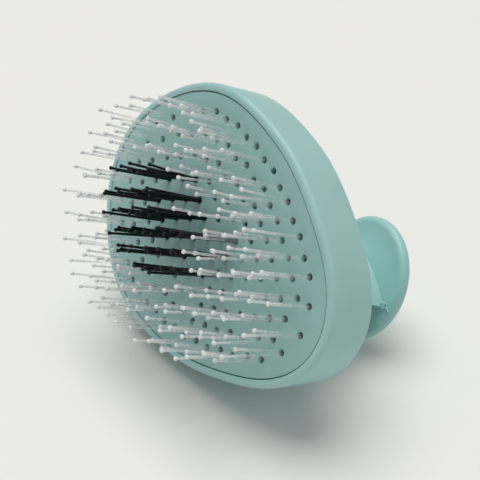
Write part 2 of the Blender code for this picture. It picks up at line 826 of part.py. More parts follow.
join(grip, rod("eyelet_stay", EYELET_STAY_RADIUS, stay_foot, stay_z, SCREW_SIDES, stay_x))

bore_back = -KNOB_BACK - COUNTERBORE_RADIUS * knob_slope
recess_back = -KNOB_THICK / 2 - SEAM
recess_front = CAP_THICK - KNOB_THICK / 2 + SEAM
cut(grip, tilt_with_knob(rod("cap_recess", CAP_RADIUS + SEAM, recess_back, recess_front, KNOB_SIDES)))
cut(grip, rod("head_recess", COUNTERBORE_RADIUS, bore_back, counterbore_front, SCREW_SIDES, GRIP_X))
cut(grip, rod("neck_bore", long_bore, bore_back, neck_foot + SEAM, SCREW_SIDES, GRIP_X))
smooth(grip, CREASE_ANGLE)

# Knob cap: the flat disc that hides the long screw

cap_outer = -KNOB_THICK / 2
cap_inner = cap_outer + CAP_THICK
cap_profile = [
    (0.0, cap_inner),
    (CAP_RADIUS, cap_inner),
    (CAP_RADIUS, cap_outer + CAP_CHAMFER),
    (CAP_RADIUS - CAP_CHAMFER, cap_outer),
    (0.0, cap_outer),
]
tilt_with_knob(turned("knob_cap", cap_profile, KNOB_SIDES, mint))

# Long screw, washer and nut that tie the grip to the cover

long_tip = nut_front + SEAM
screw(
    "knob_screw",
    GRIP_X,
    0.0,
    LONG_SCREW_RADIUS,
    LONG_HEAD_RADIUS,
    long_head_front,
    LONG_HEAD_THICK,
    long_tip,
)
washer_curve = flat_curve(
    "knob_washer",
    [
        polygon(GRIP_X, 0.0, WASHER_RADIUS, SCREW_SIDES),
        polygon(GRIP_X, 0.0, long_bore, SCREW_SIDES),
    ],
    WASHER_THICK,
)
solid_from_curve("knob_washer", washer_curve, (washer_front + washer_back) / 2, steel)
nut_curve = flat_curve(
    "knob_nut",
    [
        polygon(GRIP_X, 0.0, NUT_RADIUS, HEX_SIDES, math.pi / 2),
        polygon(GRIP_X, 0.0, LONG_SCREW_RADIUS + BORE_SLACK, SCREW_SIDES),
    ],
    NUT_THICK,
)
solid_from_curve("knob_nut", nut_curve, (nut_front + nut_back) / 2, steel)

# Lay the brush on its side and set it down on the floor

rest = Matrix.Rotation(REST_HEADING, 3, "Z") @ Matrix.Rotation(math.pi / 2 - REST_TILT, 3, "Y")
rest = rest @ Matrix.Rotation(REST_ROLL, 3, "Z")
pose.rotation_euler = rest.to_euler()
bpy.context.view_layer.update()

depsgraph = bpy.context.evaluated_depsgraph_get()
low = Vector((math.inf, math.inf, math.inf))
high = -low
for thing in parts.objects:
    if thing.type != "MESH":
        continue
    solid = thing.evaluated_get(depsgraph)
    mesh = solid.to_mesh()
    for vertex in mesh.vertices:
        place = solid.matrix_world @ vertex.co
        low = Vector((min(low.x, place.x), min(low.y, place.y), min(low.z, place.z)))
        high = Vector((max(high.x, place.x), max(high.y, place.y), max(high.z, place.z)))
    solid.to_mesh_clear()
pose.location = (-(low.x + high.x) / 2, -(low.y + high.y) / 2, -low.z)
bpy.context.view_layer.update()
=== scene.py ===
import math
import random

import bmesh
import bpy
from mathutils import Matrix, Vector


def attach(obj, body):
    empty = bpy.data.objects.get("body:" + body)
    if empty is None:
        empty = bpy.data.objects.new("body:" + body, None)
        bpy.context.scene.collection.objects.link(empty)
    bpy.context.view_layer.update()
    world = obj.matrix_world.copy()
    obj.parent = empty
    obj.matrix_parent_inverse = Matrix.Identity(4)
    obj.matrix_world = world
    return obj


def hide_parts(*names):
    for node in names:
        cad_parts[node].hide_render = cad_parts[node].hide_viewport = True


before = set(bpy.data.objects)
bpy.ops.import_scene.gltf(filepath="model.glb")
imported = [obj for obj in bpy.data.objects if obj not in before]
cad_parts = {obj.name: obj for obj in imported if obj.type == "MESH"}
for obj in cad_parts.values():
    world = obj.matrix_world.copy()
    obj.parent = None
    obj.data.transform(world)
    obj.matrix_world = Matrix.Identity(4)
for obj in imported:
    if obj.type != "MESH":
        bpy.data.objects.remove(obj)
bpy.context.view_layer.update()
print("frame loaded:", len(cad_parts), "nodes")

# the brush is built pins up, then laid on its side as the CAD lies
pose = {
    "heading": math.radians(-90.0),
    "tilt": math.radians(22.50),  # how far the pins point above the floor
    "roll": math.radians(81.35),
    "place": (-0.0019401, -0.0126733, 0.0392794),
}
turnToWorld = (
    Matrix.Rotation(pose["heading"], 4, "Z")
    @ Matrix.Rotation(math.pi / 2 - pose["tilt"], 4, "Y")
    @ Matrix.Rotation(pose["roll"], 4, "Z")
)
brushToWorld = Matrix.Translation(pose["place"]) @ turnToWorld

# outline of the head: a mean radius with five waves on it
head = {
    "meanRadius": 0.0396,
    "waves": {2: 0.1451, 3: 0.0452, 4: 0.0267, 5: 0.0081, 6: 0.0117},  # share of the radius by order
    "outlineSteps": 288,
    "seam": 0.0003,  # gap between pieces that meet
    "rimDepth": 0.0162,
}


def circleAngles(steps):
    return [2 * math.pi * k / steps for k in range(steps)]


def eggPoint(angle, offset):
    # a point of the head's outline, moved outward by offset
    radius = head["meanRadius"]
    slope = 0.0
    for order, share in head["waves"].items():
        radius += head["meanRadius"] * share * math.cos(order * angle)
        slope -= head["meanRadius"] * order * share * math.sin(order * angle)
    across = slope * math.cos(angle) - radius * math.sin(angle)
    along = slope * math.sin(angle) + radius * math.cos(angle)
    size = math.hypot(across, along)
    return (
        radius * math.cos(angle) + offset * along / size,
        radius * math.sin(angle) - offset * across / size,
    )


def eggRing(offset, height):
    return [(*eggPoint(angle, offset), height) for angle in circleAngles(head["outlineSteps"])]


def cornerRound(offset, height, radius, startTurn, steps):
    # a right-angled round in a section, anticlockwise from startTurn
    points = []
    for k in range(steps + 1):
        turn = startTurn + math.pi / 2 * k / steps
        points.append((offset + radius * math.cos(turn), height + radius * math.sin(turn)))
    return points


def turnedRings(profile, steps, centre=(0.0, 0.0)):
    # one ring for each (radius, height) of a profile turned about an upright line
    rings = []
    for radius, height in profile:
        ring = []
        for angle in circleAngles(steps):
            x = centre[0] + radius * math.cos(angle)
            y = centre[1] + radius * math.sin(angle)
            ring.append((x, y, height))
        rings.append(ring)
    return rings


def addRows(mesh, rings):
    return [[mesh.verts.new(point) for point in ring] for ring in rings]


def skinRows(mesh, rows):
    # a skin of quads over rows of equal count
    faces = []
    for low, high in zip(rows, rows[1:]):
        for k in range(len(low)):
            after = (k + 1) % len(low)
            faces.append(mesh.faces.new((low[k], low[after], high[after], high[k])))
    return faces


def skinRings(mesh, rings, closed):
    # a skin over rings, joined end to end where it is closed and capped where it isn't
    rows = addRows(mesh, rings)
    if closed:
        return skinRows(mesh, rows + rows[:1])
    faces = skinRows(mesh, rows)
    faces.append(mesh.faces.new(tuple(reversed(rows[0]))))
    faces.append(mesh.faces.new(tuple(rows[-1])))
    return faces


def fillFlat(mesh, loops):
    # triangles over the flat area that the first loop bounds, less the other loops
    edges = []
    for loop in loops:
        for k in range(len(loop)):
            edges.append(mesh.edges.get((loop[k], loop[(k + 1) % len(loop)])))
    bmesh.ops.triangle_fill(mesh, use_beauty=True, use_dissolve=False, edges=edges)


def finishPiece(name, mesh, material, body, crease, node):
    # turns the bmesh into a piece in the world, smooth but for its creases
    bmesh.ops.recalc_face_normals(mesh, faces=mesh.faces)
    for face in mesh.faces:
        face.smooth = True
    data = bpy.data.meshes.new(name)
    mesh.to_mesh(data)
    mesh.free()
    data.transform(brushToWorld)
    data.set_sharp_from_angle(angle=math.radians(crease))
    data.materials.append(material)
    piece = bpy.data.objects.new(name, data)
    bpy.context.scene.collection.objects.link(piece)
    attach(piece, body)
    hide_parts(node)
    return piece


# materials: each one is a pattern that drives colour, gloss and relief
patternRange = (0.3, 0.7)  # nearly all of a noise pattern's values lie between these


def startMaterial(name, roughness, metallic=0.0):
    material = bpy.data.materials.new(name)
    material.use_nodes = True
    tree = material.node_tree
    shader = tree.nodes["Principled BSDF"]
    shader.inputs["Roughness"].default_value = roughness
    shader.inputs["Metallic"].default_value = metallic
    coordinates = tree.nodes.new("ShaderNodeTexCoord").outputs["Object"]
    return material, tree, shader, coordinates


def addNoise(tree, place, scale, detail, roughness=0.5):
    noise = tree.nodes.new("ShaderNodeTexNoise")
    noise.inputs["Scale"].default_value = scale
    noise.inputs["Detail"].default_value = detail
    noise.inputs["Roughness"].default_value = roughness
    tree.links.new(place, noise.inputs["Vector"])
    return noise.outputs["Fac"]


def driveColour(tree, shader, pattern, stops, dark, light):
    ramp = tree.nodes.new("ShaderNodeValToRGB")
    for element, position, colour in zip(ramp.color_ramp.elements, stops, (dark, light)):
        element.position = position
        element.color = (*colour, 1.0)
    tree.links.new(pattern, ramp.inputs["Fac"])
    tree.links.new(ramp.outputs["Color"], shader.inputs["Base Color"])


def driveGloss(tree, shader, pattern, low, high):
    spread = tree.nodes.new("ShaderNodeMapRange")
    spread.inputs["From Min"].default_value = patternRange[0]
    spread.inputs["From Max"].default_value = patternRange[1]
    spread.inputs["To Min"].default_value = low
    spread.inputs["To Max"].default_value = high
    tree.links.new(pattern, spread.inputs["Value"])
    tree.links.new(spread.outputs["Result"], shader.inputs["Roughness"])


def driveRelief(tree, shader, pattern, strength, depth):
    bump = tree.nodes.new("ShaderNodeBump")
    bump.inputs["Strength"].default_value = strength
    bump.inputs["Distance"].default_value = depth
    tree.links.new(pattern, bump.inputs["Height"])
    tree.links.new(bump.outputs["Normal"], shader.inputs["Normal"])


# satin moulded plastic: a soft drift of tone, a fine eroded grain and faint flow marks
mintForm = {
    "driftScale": 38.0,
    "driftDetail": 3.0,
    "driftStops": (0.32, 0.68),
    "grainDetail": 4.0,
    "grainRoughness": 0.65,
    "flowScale": 210.0,
    "flowDetail": 2.0,
    "flowShare": 0.8,
    "glossSpread": (-0.05, 0.07),
    "reliefStrength": 0.22,
    "reliefDepth": 0.00006,
    "shell": {
        "light": (0.372, 0.612, 0.598), "dark": (0.340, 0.576, 0.563), "roughness": 0.42, "grain": 2600.0,
    },
    # the plate is the same mint plastic, its tones set darker than the shell's as painted shade
    "plate": {
        "light": (0.322, 0.540, 0.532), "dark": (0.294, 0.506, 0.498), "roughness": 0.50, "grain": 3200.0,
    },
    "grip": {
        "light": (0.350, 0.618, 0.600), "dark": (0.320, 0.580, 0.565), "roughness": 0.40, "grain": 2600.0,
    },
}


def mintFinish(name, tone):
    form = mintForm
    material, tree, shader, place = startMaterial(name, tone["roughness"])
    drift = addNoise(tree, place, form["driftScale"], form["driftDetail"])
    driveColour(tree, shader, drift, form["driftStops"], tone["dark"], tone["light"])
    grain = addNoise(tree, place, tone["grain"], form["grainDetail"], form["grainRoughness"])
    low, high = (tone["roughness"] + step for step in form["glossSpread"])
    driveGloss(tree, shader, grain, low, high)
    flow = addNoise(tree, place, form["flowScale"], form["flowDetail"])
    both = tree.nodes.new("ShaderNodeMath")
    both.operation = "MULTIPLY_ADD"
    both.inputs[1].default_value = form["flowShare"]
    tree.links.new(flow, both.inputs[0])
    tree.links.new(grain, both.inputs[2])
    driveRelief(tree, shader, both.outputs[0], form["reliefStrength"], form["reliefDepth"])
    return material


shellPlastic = mintFinish("satinMintShell", mintForm["shell"])
shadedPlatePlastic = mintFinish("satinMintPlateShaded", mintForm["plate"])
gripPlastic = mintFinish("satinMintGrip", mintForm["grip"])

# drawn nylon: faint streaks of tone along each pin and a slightly uneven gloss
nylonForm = {
    "streakScale": 900.0,
    "streakDetail": 2.0,
    "streakStops": (0.30, 0.70),
    "glossSpread": (-0.04, 0.06),
    "reliefStrength": 0.15,
    "reliefDepth": 0.00003,
    "ior": 1.50,
    "clear": {"light": (0.98, 0.98, 0.98), "dark": (0.94, 0.95, 0.95), "roughness": 0.30},
    "ball": {"light": (0.98, 0.99, 0.99), "dark": (0.95, 0.96, 0.96), "roughness": 0.16},
    "black": {"light": (0.007, 0.008, 0.008), "dark": (0.004, 0.005, 0.005), "roughness": 0.42},
    "mat": {"light": (0.050, 0.072, 0.072), "dark": (0.036, 0.054, 0.054), "roughness": 0.60},
    "blackSheen": 0.3,
    "lowCover": (0.20, 0.6),  # how much of the surface shows, and how much light passes through it
    "middleCover": (0.36, 0.5),
    "highCover": (0.56, 0.4),
    "ballCover": (1.0, 0.22),
}


def nylonFinish(name, tone, cover=1.0, through=0.0):
    form = nylonForm
    material, tree, shader, place = startMaterial(name, tone["roughness"])
    streaks = addNoise(tree, place, form["streakScale"], form["streakDetail"])
    driveColour(tree, shader, streaks, form["streakStops"], tone["dark"], tone["light"])
    low, high = (tone["roughness"] + step for step in form["glossSpread"])
    driveGloss(tree, shader, streaks, low, high)
    driveRelief(tree, shader, streaks, form["reliefStrength"], form["reliefDepth"])
    shader.inputs["Alpha"].default_value = cover
    shader.inputs["IOR"].default_value = form["ior"]
    shader.inputs["Transmission Weight"].default_value = through
    return material


# the white pins are clear at the foot and cloud over toward the ball
clearLow = nylonFinish("clearNylonLow", nylonForm["clear"], *nylonForm["lowCover"])
clearMiddle = nylonFinish("clearNylonMiddle", nylonForm["clear"], *nylonForm["middleCover"])
clearHigh = nylonFinish("clearNylonHigh", nylonForm["clear"], *nylonForm["highCover"])
whiteTip = nylonFinish("whiteTipNylon", nylonForm["ball"], *nylonForm["ballCover"])
blackNylon = nylonFinish("blackNylon", nylonForm["black"])
blackShader = blackNylon.node_tree.nodes["Principled BSDF"]
blackShader.inputs["Specular IOR Level"].default_value = nylonForm["blackSheen"]
matRubber = nylonFinish("matRubber", nylonForm["mat"])

# open-cell foam, with painted shade darkening the pits of its cells
foamLook = {
    "roughness": 0.9,
    "cellScale": 1500.0,
    "stops": (0.05, 0.6),
    "dark": (0.09, 0.11, 0.11),
    "light": (0.24, 0.28, 0.28),
    "reliefStrength": 0.8,
    "reliefDepth": 0.0002,
}


def foamFinish():
    material, tree, shader, place = startMaterial("padFoam", foamLook["roughness"])
    cells = tree.nodes.new("ShaderNodeTexVoronoi")
    cells.inputs["Scale"].default_value = foamLook["cellScale"]
    tree.links.new(place, cells.inputs["Vector"])
    pits = cells.outputs["Distance"]
    # painted shade: the colour goes darker where the cells' pits go deeper
    driveColour(tree, shader, pits, foamLook["stops"], foamLook["dark"], foamLook["light"])
    driveRelief(tree, shader, pits, foamLook["reliefStrength"], foamLook["reliefDepth"])
    return material


# plain grey moulding with a coarse eroded face
backingLook = {
    "roughness": 0.55,
    "grainScale": 1500.0,
    "grainDetail": 5.0,
    "grainRoughness": 0.6,
    "stops": (0.35, 0.65),
    "dark": (0.22, 0.28, 0.28),
    "light": (0.27, 0.33, 0.33),
    "reliefStrength": 0.3,
    "reliefDepth": 0.00008,
}


def backingFinish():
    look = backingLook
    material, tree, shader, place = startMaterial("backingPlastic", look["roughness"])
    grain = addNoise(tree, place, look["grainScale"], look["grainDetail"], look["grainRoughness"])
    driveColour(tree, shader, grain, look["stops"], look["dark"], look["light"])
    driveRelief(tree, shader, grain, look["reliefStrength"], look["reliefDepth"])
    return material


# zinc-plated steel with turning marks
steelLook = {
    "roughness": 0.30,
    "markStretch": (400.0, 400.0, 6000.0),
    "markDetail": 4.0,
    "stops": (0.3, 0.7),
    "dark": (0.52, 0.53, 0.56),
    "light": (0.68, 0.68, 0.70),
    "gloss": (0.24, 0.42),
    "reliefStrength": 0.25,
    "reliefDepth": 0.00003,
}


def steelFinish():
    look = steelLook
    material, tree, shader, place = startMaterial("platedSteel", look["roughness"], 1.0)
    stretch = tree.nodes.new("ShaderNodeMapping")
    stretch.inputs["Scale"].default_value = look["markStretch"]
    tree.links.new(place, stretch.inputs["Vector"])
    marks = addNoise(tree, stretch.outputs["Vector"], 1.0, look["markDetail"])
    driveColour(tree, shader, marks, look["stops"], look["dark"], look["light"])
    driveGloss(tree, shader, marks, *look["gloss"])
    driveRelief(tree, shader, marks, look["reliefStrength"], look["reliefDepth"])
    return material


padFoam = foamFinish()
backingPlastic = backingFinish()
platedSteel = steelFinish()
print("materials made")

# rim: one section of walls, ledge and flange carried round the outline
rimForm = {
    "lipWidth": 0.0025,  # how far the wall stands outside the parting line
    "wallDraft": 0.0004,
    "lipRound": 0.0015,
    "lipSteps": 10,
    "backRound": 0.0010,
    "backSteps": 8,
    "edgeRound": 0.00012,
    "edgeSteps": 3,
    "wall": 0.0020,
    "ledgeReach": 0.0022,
    "ledgeThick": 0.0015,
    "flangeReach": 0.0016,
    "flangeThick": 0.0018,
    "plateThick": 0.0018,
    "plateRecess": 0.0002,
    "crease": 40.0,
}
plateFront = -rimForm["plateRecess"]
plateBack = plateFront - rimForm["plateThick"]
ledgeFront = plateBack - head["seam"]
ledgeBack = ledgeFront - rimForm["ledgeThick"]
flangeFront = rimForm["flangeThick"] - head["rimDepth"]


def makeRim():
    form = rimForm
    lip = form["lipWidth"]
    front = form["lipRound"]
    back = form["backRound"]
    edge = form["edgeRound"]
    cavity = lip - form["wall"]
    seamEdge = head["seam"] / 2
    section = cornerRound(lip - front, -front, front, 0.0, form["lipSteps"])
    section += cornerRound(seamEdge + edge, -edge, edge, math.pi / 2, form["edgeSteps"])
    section += [(seamEdge, ledgeFront), (-form["ledgeReach"], ledgeFront)]
    section += [(-form["ledgeReach"], ledgeBack), (cavity, ledgeBack)]
    section += [(cavity, flangeFront), (-form["flangeReach"], flangeFront)]
    flangeEdge = edge - form["flangeReach"]
    section += cornerRound(flangeEdge, edge - head["rimDepth"], edge, math.pi, form["edgeSteps"])
    backEdge = lip - form["wallDraft"] - back
    section += cornerRound(backEdge, back - head["rimDepth"], back, -math.pi / 2, form["backSteps"])
    mesh = bmesh.new()
    skinRings(mesh, [eggRing(offset, height) for offset, height in section], True)
    finishPiece("rimShell", mesh, shellPlastic, "brush_body", form["crease"], "rim")


makeRim()
print("rim made")

# face plate, pierced in columns that each run evenly from edge to edge
plateForm = {
    "holeRadius": 0.00094,
    "holeSteps": 24,
    "holeRound": 0.00020,
    "edgeRound": 0.00012,
    "roundSteps": 3,
    "columnPitch": 0.00455,
    "columnCreep": 0.000018,  # the columns draw together toward the narrow end
    "columnStart": 0.0017,
    "firstColumn": -8,
    "columnHoles": (5, 6, 7, 8, 9, 10, 11, 10, 11, 10, 11, 10, 9, 8, 7, 6, 5, 2),
    "evenMargin": 0.0050,  # from the outline to the last holes of an even column
    "oddMargin": 0.0056,
    "marginSteps": 720,
    "crease": 40.0,
}
fieldForm = {
    "bareColumn": 2,  # no pins stand in it outside the black window
    "blackX": -0.0055,
    "blackHalfLength": 0.0190,
    "blackHalfWidth": 0.0130,
    "blackSquareness": 2.5,
    "emptyHoles": (49, 60, 70, 71),  # no pins show in these
    "oddHoles": (81, 104),  # these carry pins of the other colour
}


def columnPlace(column):
    spread = plateForm["columnPitch"] * column - plateForm["columnCreep"] * column ** 2
    return plateForm["columnStart"] + spread


splitX = columnPlace(fieldForm["bareColumn"])  # the two white fields part here


def halfColumn(x, margin):
    # how far a column at x reaches before it comes within margin of the outline
    steps = plateForm["marginSteps"]
    reach = 0.0
    for k in range(steps):
        beforeX, beforeY = eggPoint(math.pi * k / steps, -margin)
        afterX, afterY = eggPoint(math.pi * (k + 1) / steps, -margin)
        if afterX <= x < beforeX:
            reach = beforeY + (afterY - beforeY) * (beforeX - x) / (beforeX - afterX)
    return reach


def pinOwner(x, y, column):
    power = fieldForm["blackSquareness"]
    share = (abs(x - fieldForm["blackX"]) / fieldForm["blackHalfLength"]) ** power
    share += (abs(y) / fieldForm["blackHalfWidth"]) ** power
    if share < 1.0:
        return "centre"
    if column == fieldForm["bareColumn"]:
        return "none"
    return "front" if x > splitX else "rear"


def plateHoles():
    tipX = eggPoint(0.0, 0.0)[0]
    found = [(tipX - plateForm["oddMargin"], 0.0, "front")]
    for index, count in enumerate(plateForm["columnHoles"]):
        column = plateForm["firstColumn"] + index
        x = columnPlace(column)
        half = halfColumn(x, plateForm["oddMargin"] if column % 2 else plateForm["evenMargin"])
        for row in range(count):
            y = half * (1 - 2 * row / (count - 1))
            empty = len(found) in fieldForm["emptyHoles"]
            found.append((x, y, "none" if empty else pinOwner(x, y, column)))
    return found


holes = plateHoles()


def makePlate():
    form = plateForm
    steps = form["roundSteps"]
    edge = form["edgeRound"]
    outside = -head["seam"] / 2 - edge
    outer = cornerRound(outside, plateFront - edge, edge, 0.0, steps)[::-1]
    outer += cornerRound(outside, plateBack + edge, edge, -math.pi / 2, steps)[::-1]
    mouth = form["holeRound"]
    bore = form["holeRadius"] + mouth
    holeProfile = cornerRound(bore, plateFront - mouth, mouth, math.pi / 2, steps)
    holeProfile += cornerRound(bore, plateBack + mouth, mouth, math.pi, steps)
    mesh = bmesh.new()
    walls = [[eggRing(offset, height) for offset, height in outer]]
    walls += [turnedRings(holeProfile, form["holeSteps"], (x, y)) for x, y, owner in holes]
    fronts, backs = [], []
    for rings in walls:
        rows = addRows(mesh, rings)
        skinRows(mesh, rows)
        fronts.append(rows[0])
        backs.append(rows[-1])
    fillFlat(mesh, fronts)
    fillFlat(mesh, backs)
    finishPiece(
        "facePlate", mesh, shadedPlatePlastic, "brush_body", form["crease"], "face_plate",
    )


makePlate()
print("plate made:", len(holes), "holes")

# pins: two white or three black round-tipped strands a hole, standing on their mat
matForm = {
    "thick": 0.0010,
    "inset": 0.0040,
    "edgeRound": 0.0003,
    "windowSteps": 200,
    "outlineSteps": 360,
    "leastStep": 0.00008,  # points of the outline that lie closer together are dropped
    "crease": 50.0,
}
pinForm = {
    "commonLean": (-0.030, 0.045),
    "spread": 0.00036,  # distance of each strand from the middle of its hole
    "holeReach": 0.0022,  # from the mat to the middle of the hole, halfway through the travel
    "splay": 0.021,
    "scatter": 0.026,  # how far a strand may lean at random
    "bendShare": 0.010,
    "lengthScatter": 0.012,
    "rootDepth": 0.0004,
    "holeTurn": 1.9,
    "sides": 12,
    "shaft": ((0.25, 0.0), (0.5, 0.4), (0.75, 0.7)),  # how far up, and how much of the taper is done
    "neckDrop": 2.35,  # from the end to the neck, in radii of the ball
    "tipSteps": 7,
    "tipFlat": 0.12,  # angle from the axis at which the ball is cut flat
    "slots": 4,  # material slots along one pin, the ball's last
    "seed": 41,
}
whitePins = {"lengths": (0.0210, 0.0165), "radius": 0.00034, "topRadius": 0.00033, "tipRadius": 0.00060}
blackPins = {
    "lengths": (0.0205, 0.0195, 0.0180), "radius": 0.00038, "topRadius": 0.00034, "tipRadius": 0.00056,
}
strayPin = {"hole": 39, "strand": 1, "lean": (0.022, 0.177)}  # one black pin is bent well out of line
matFront = plateBack - head["seam"]
matBack = matFront - matForm["thick"]
chance = random.Random(pinForm["seed"])


def pinStations(form, reach):
    # (along, radius) from the root up to the end of the ball
    foot, top, tip = form["radius"], form["topRadius"], form["tipRadius"]
    stations = [(-pinForm["rootDepth"], foot)]
    for share, taper in pinForm["shaft"]:
        stations.append((reach * share, foot * (1 - taper) + top * taper))
    stations.append((reach - pinForm["neckDrop"] * tip, top))
    neck = math.pi - math.asin(top / tip)
    for k in range(pinForm["tipSteps"] + 1):
        turn = neck - (neck - pinForm["tipFlat"]) * k / pinForm["tipSteps"]
        stations.append((reach - tip + tip * math.cos(turn), tip * math.sin(turn)))
    return stations


def addStrand(mesh, x, y, turn, length, form, firstSlot, lean=None):
    outward = Vector((math.cos(turn), math.sin(turn), 0.0))
    sway = Vector((chance.uniform(-1, 1), chance.uniform(-1, 1), 0.0)) * pinForm["scatter"]
    loose = Vector((*pinForm["commonLean"], 0.0)) + outward * pinForm["splay"] + sway
    tilt = Vector((*lean, 0.0)) if lean else loose
    root = Vector((x, y, matFront)) + outward * (0.0 if lean else pinForm["spread"])
    root -= tilt * pinForm["holeReach"]
    axis = (Vector((0.0, 0.0, 1.0)) + tilt).normalized()
    side = axis.cross(Vector((0.0, 1.0, 0.0))).normalized()
    other = side.cross(axis).normalized()
    bendWay = (side * chance.uniform(-1, 1) + other * chance.uniform(-1, 1)) * pinForm["bendShare"]
    scatter = pinForm["lengthScatter"]
    reach = length * (1.0 + chance.uniform(-scatter, scatter)) - matFront
    rings = []
    for along, width in pinStations(form, reach):
        share = max(0.0, along / reach)
        middle = root + axis * along + bendWay * reach * share * share
        ring = []
        for angle in circleAngles(pinForm["sides"]):
            ring.append(middle + (side * math.cos(angle) + other * math.sin(angle)) * width)
        rings.append(ring)
    for index, face in enumerate(skinRings(mesh, rings, False)):
        # the first two stretches of the shaft share a slot, and the ball has the last
        stretch = max(index // pinForm["sides"] - 1, 0)
        face.material_index = firstSlot + min(stretch, pinForm["slots"] - 1)


def windowPoints(gap, steps):
    # outline of the black window, grown by gap
    points = []
    power = 2.0 / fieldForm["blackSquareness"]
    for angle in circleAngles(steps):
        cosine, sine = math.cos(angle), math.sin(angle)
        reach = (fieldForm["blackHalfLength"] + gap) * math.copysign(abs(cosine) ** power, cosine)
        y = (fieldForm["blackHalfWidth"] + gap) * math.copysign(abs(sine) ** power, sine)
        points.append((fieldForm["blackX"] + reach, y))
    return points


roundMiddle = 0.3  # where a sheet's rounded edge has its middle ring, as a share of its radius


def roundedSheet(mesh, points, front, back, edge):
    # a flat sheet with lightly rounded edges from a closed outline
    middleX = sum(x for x, y in points) / len(points)
    middleY = sum(y for x, y in points) / len(points)

    def drawnIn(distance, height):
        ring = []
        for x, y in points:
            share = 1.0 - distance / math.hypot(x - middleX, y - middleY)
            ring.append((middleX + (x - middleX) * share, middleY + (y - middleY) * share, height))
        return ring

    part = edge * roundMiddle
    rings = [drawnIn(edge, front), drawnIn(part, front - part), drawnIn(0.0, front - edge)]
    rings += [drawnIn(0.0, back + edge), drawnIn(part, back + part), drawnIn(edge, back)]
    rows = addRows(mesh, rings)
    skinRows(mesh, rows)
    fillFlat(mesh, rows[:1])
    fillFlat(mesh, rows[-1:])


def straightSheet(mesh, points, front, back):
    # a straight-sided sheet from an outline of any shape
    rows = addRows(mesh, [[(x, y, height) for x, y in points] for height in (front, back)])
    skinRows(mesh, rows)
    fillFlat(mesh, rows[:1])
    fillFlat(mesh, rows[-1:])


def fieldOutline(rearSide, gap):
    # outline of the mat on one side of the bare line, drawn round the black window
    limit = splitX - gap if rearSide else splitX + gap
    steps = matForm["outlineSteps"]
    outer = [eggPoint(angle, -matForm["inset"]) for angle in circleAngles(steps)]
    window = windowPoints(gap, steps)
    first = 0 if rearSide else steps // 2

    def ownSide(points):
        ordered = points[first:] + points[:first]
        return [point for point in ordered if (point[0] <= limit if rearSide else point[0] >= limit)]

    outerRun = ownSide(outer)
    windowRun = ownSide(window)
    joined = [(limit, outerRun[0][1])] + outerRun + [(limit, outerRun[-1][1])]
    joined += [(limit, windowRun[-1][1])] + windowRun[::-1] + [(limit, windowRun[0][1])]
    cleaned = joined[:1]
    for point in joined[1:]:
        if math.dist(point, cleaned[-1]) > matForm["leastStep"]:
            cleaned.append(point)
    return cleaned


def makePins(name, field, forms, materials, body, node):
    # forms and materials start with the field's own colour, then that of its odd hole
    mesh = bmesh.new()
    if field == "centre":
        outline = windowPoints(-head["seam"] / 2, matForm["windowSteps"])
        roundedSheet(mesh, outline, matFront, matBack, matForm["edgeRound"])
    else:
        straightSheet(mesh, fieldOutline(field == "rear", head["seam"] / 2), matFront, matBack)
    count = 0
    for index, (x, y, owner) in enumerate(holes):
        if owner != field:
            continue
        odd = int(index in fieldForm["oddHoles"])
        form = forms[odd]
        firstSlot = 1 + odd * pinForm["slots"]
        for k, length in enumerate(form["lengths"]):
            turn = pinForm["holeTurn"] * index + 2 * math.pi * k / len(form["lengths"])
            stray = (index, k) == (strayPin["hole"], strayPin["strand"])
            addStrand(mesh, x, y, turn, length, form, firstSlot, strayPin["lean"] if stray else None)
            count += 1
    piece = finishPiece(name, mesh, matRubber, body, matForm["crease"], node)
    for material in materials:
        piece.data.materials.append(material)
    print(name, "made:", count, "strands")


whiteSlots = (clearLow, clearMiddle, clearHigh, whiteTip)
blackSlots = (blackNylon,) * pinForm["slots"]
whiteFirst = (whitePins, blackPins)
blackFirst = (blackPins, whitePins)
makePins("rearPins", "rear", whiteFirst, whiteSlots, "rear_field", "rear_pins")
makePins(
    "frontPins", "front", whiteFirst, whiteSlots + blackSlots, "front_field", "front_pins",
)
makePins(
    "centrePins", "centre", blackFirst, blackSlots + whiteSlots, "centre_field", "centre_pins",
)

# foam pad under the mats
foamForm = {"travel": 0.0021, "thick": 0.0022, "edgeRound": 0.0007, "outlineSteps": 240, "crease": 50.0}


def makeFoam():
    front = matBack - foamForm["travel"]
    outline = [eggPoint(angle, -matForm["inset"]) for angle in circleAngles(foamForm["outlineSteps"])]
    mesh = bmesh.new()
    roundedSheet(mesh, outline, front, front - foamForm["thick"], foamForm["edgeRound"])
    finishPiece("foamPad", mesh, padFoam, "brush_body", foamForm["crease"], "foam_pad")


makeFoam()
print("foam pad made")

# back cover: a dome from the rim's flange up to a flat pad that carries the grip
coverForm = {
    "skirtFront": 0.0116,
    "skirtThick": 0.0020,
    "beadReach": 0.0009,
    "beadThick": 0.0006,
    "edgeRound": 0.0004,
    "edgeSteps": 4,
    "wall": 0.0020,
    "innerSteps": 8,
    "domeHeight": 0.0043,
    "domeSteps": 28,
    "padX": 0.0175,
    "padHalfLength": 0.0170,
    "padHalfWidth": 0.0125,
    "gripX": 0.0187,
    "boreRadius": 0.0023,
    "crease": 40.0,
}
gripX = coverForm["gripX"]
padHeight = -head["rimDepth"] - coverForm["domeHeight"]


def domeRing(share, edgeOffset, edgeHeight, topHeight, shrink):
    # share runs from 0 at the dome's edge to 1 at its pad
    height = edgeHeight + (topHeight - edgeHeight) * (1 - (1 - share) ** 2)
    ring = []
    for angle in circleAngles(head["outlineSteps"]):
        edgeX, edgeY = eggPoint(angle, edgeOffset)
        padX = coverForm["padX"] + (coverForm["padHalfLength"] - shrink) * math.cos(angle)
        padY = (coverForm["padHalfWidth"] - shrink) * math.sin(angle)
        ring.append((edgeX + (padX - edgeX) * share, edgeY + (padY - edgeY) * share, height))
    return ring


